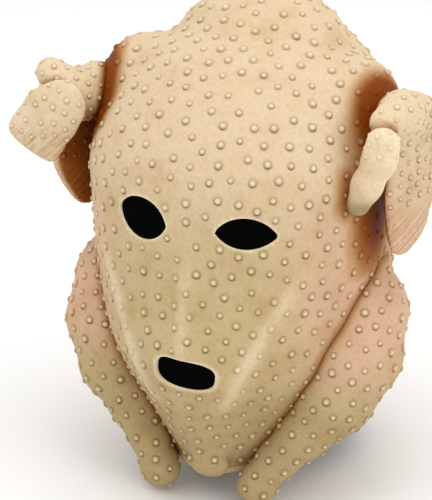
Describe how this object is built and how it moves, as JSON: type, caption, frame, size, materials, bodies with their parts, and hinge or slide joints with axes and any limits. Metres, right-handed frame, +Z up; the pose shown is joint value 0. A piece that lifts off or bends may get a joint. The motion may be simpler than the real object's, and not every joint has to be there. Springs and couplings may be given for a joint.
{
  "type": "rubber chicken mask",
  "caption": "Hollow latex over-the-head mask shaped like a plucked chicken, with eye and mouth holes and flexing wings and legs.",
  "frame": {"origin": "middle of the neck opening, in the plane of the shell's lower rim, where the wearer's head enters", "axes": "+Z up the wearer's head, -Y the way the face looks, +X the wearer's left"},
  "size_m": [0.2524, 0.2133, 0.297],
  "materials": {
    "latex_skin": "matte",
    "latex_hem": "matte",
    "black_gauze": "matte",
    "foam_core": "matte",
    "latex_patch": "matte"
  },
  "bodies": {
    "mask": {"head_shell": "latex_skin", "neck_hem": "latex_hem", "tail_nub": "latex_skin", "left_eye_gauze": "black_gauze", "right_eye_gauze": "black_gauze", "mouth_gauze": "black_gauze", "left_leg_patch": "latex_patch", "left_wing_patch": "latex_patch", "right_leg_patch": "latex_patch", "right_wing_patch": "latex_patch"},
    "left_wing": {"left_wing_arm": "latex_skin", "left_wing_forearm": "latex_skin", "left_wing_core": "foam_core"},
    "left_wing_end": {"left_wing_tip": "latex_skin"},
    "left_leg_limb": {"left_leg": "latex_skin", "left_leg_core": "foam_core"},
    "right_wing": {"right_wing_arm": "latex_skin", "right_wing_forearm": "latex_skin", "right_wing_core": "foam_core"},
    "right_wing_end": {"right_wing_tip": "latex_skin"},
    "right_leg_limb": {"right_leg": "latex_skin", "right_leg_core": "foam_core"}
  },
  "joints": [
    {"name": "left_wing_lift", "type": "hinge", "parent": "mask", "child": "left_wing", "pos_m": [0.0923, -0.018, 0.22], "axis": [0, -1, 0], "range_deg": [0, 25], "stiffness_Nm_per_rad": 0.35},
    {"name": "left_tip_flex", "type": "hinge", "parent": "left_wing", "child": "left_wing_end", "pos_m": [0.101, -0.0525, 0.2175], "axis": [-1, 0, 0], "range_deg": [0, 18], "stiffness_Nm_per_rad": 0.08},
    {"name": "left_leg_spread", "type": "hinge", "parent": "mask", "child": "left_leg_limb", "pos_m": [0.086, -0.008, 0.126], "axis": [0, -1, 0], "range_deg": [0, 12], "stiffness_Nm_per_rad": 3},
    {"name": "right_wing_lift", "type": "hinge", "parent": "mask", "child": "right_wing", "pos_m": [-0.0923, -0.018, 0.22], "axis": [0, 1, 0], "range_deg": [0, 25], "stiffness_Nm_per_rad": 0.35},
    {"name": "right_tip_flex", "type": "hinge", "parent": "right_wing", "child": "right_wing_end", "pos_m": [-0.101, -0.0525, 0.2175], "axis": [-1, 0, 0], "range_deg": [0, 18], "stiffness_Nm_per_rad": 0.08},
    {"name": "right_leg_spread", "type": "hinge", "parent": "mask", "child": "right_leg_limb", "pos_m": [-0.086, -0.008, 0.126], "axis": [0, 1, 0], "range_deg": [0, 12], "stiffness_Nm_per_rad": 3}
  ]
}
